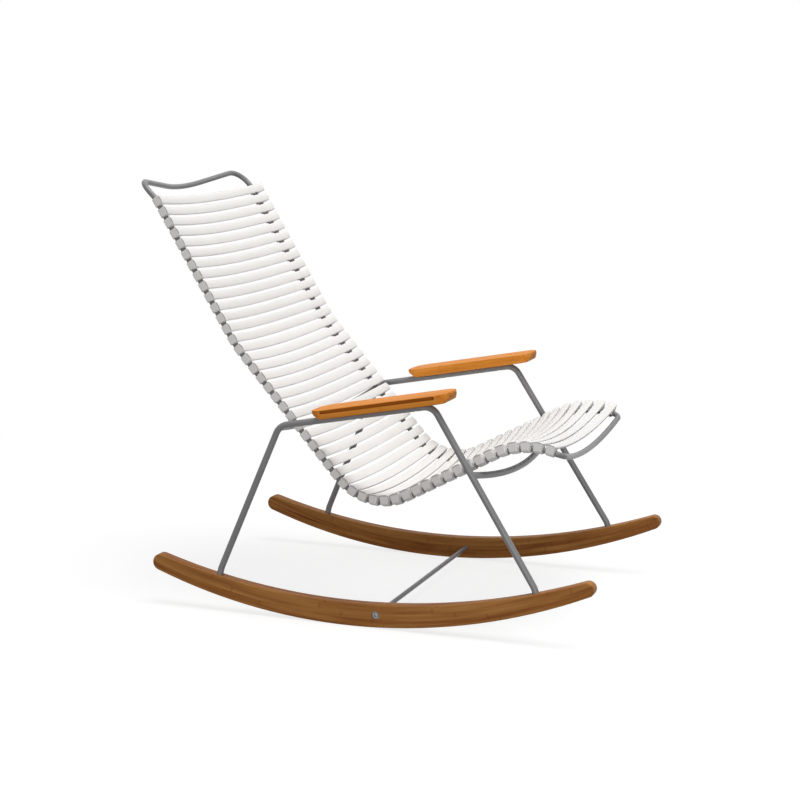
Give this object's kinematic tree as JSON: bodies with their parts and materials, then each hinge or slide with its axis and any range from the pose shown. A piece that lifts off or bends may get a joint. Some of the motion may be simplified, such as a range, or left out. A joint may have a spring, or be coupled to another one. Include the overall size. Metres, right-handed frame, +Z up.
{
  "type": "rocking lounge chair",
  "caption": "High-back rocking lounge chair: bowed slats clipped to a looped tube, bent tube side frames with flat wooden armrests, and curved wooden runners.",
  "frame": {"origin": "on the floor, under the centre of the chair's bounding box", "axes": "+Z up; the chair faces -Y; +X towards the sitter's left"},
  "size_m": [0.668, 1.065, 0.9174],
  "materials": {
    "slat": "satin, off-white",
    "frame": "satin powder coat, dark grey",
    "armrest_wood": "oiled bamboo, honey-coloured",
    "runner_wood": "oiled bamboo, dark brown",
    "screw": "plain"
  },
  "bodies": {
    "root": {"slat_01": "slat", "slat_02": "slat", "slat_03": "slat", "slat_04": "slat", "slat_05": "slat", "slat_06": "slat", "slat_07": "slat", "slat_08": "slat", "slat_09": "slat", "slat_10": "slat", "slat_11": "slat", "slat_12": "slat", "slat_13": "slat", "slat_14": "slat", "slat_15": "slat", "slat_16": "slat", "slat_17": "slat", "slat_18": "slat", "slat_19": "slat", "slat_20": "slat", "slat_21": "slat", "slat_22": "slat", "slat_23": "slat", "slat_24": "slat", "slat_25": "slat", "slat_26": "slat", "slat_27": "slat", "slat_28": "slat", "slat_29": "slat", "slat_30": "slat", "slat_31": "slat", "slat_32": "slat", "slat_33": "slat", "slat_34": "slat", "slat_35": "slat", "slat_36": "slat", "slat_37": "slat", "slat_38": "slat", "slat_39": "slat", "slat_40": "slat", "slat_41": "slat", "slat_42": "slat", "slat_43": "slat", "slat_44": "slat", "slat_45": "slat", "slat_46": "slat", "slat_47": "slat", "slat_48": "slat", "seat_frame": "frame", "side_frame_left": "frame", "side_frame_right": "frame", "front_cross_tube": "frame", "rear_cross_tube": "frame", "stretcher": "frame", "runner_left": "runner_wood", "runner_right": "runner_wood", "armrest_left": "armrest_wood", "armrest_right": "armrest_wood", "stretcher_screws": "screw", "frame_screws": "screw"}
  },
  "joints": []
}
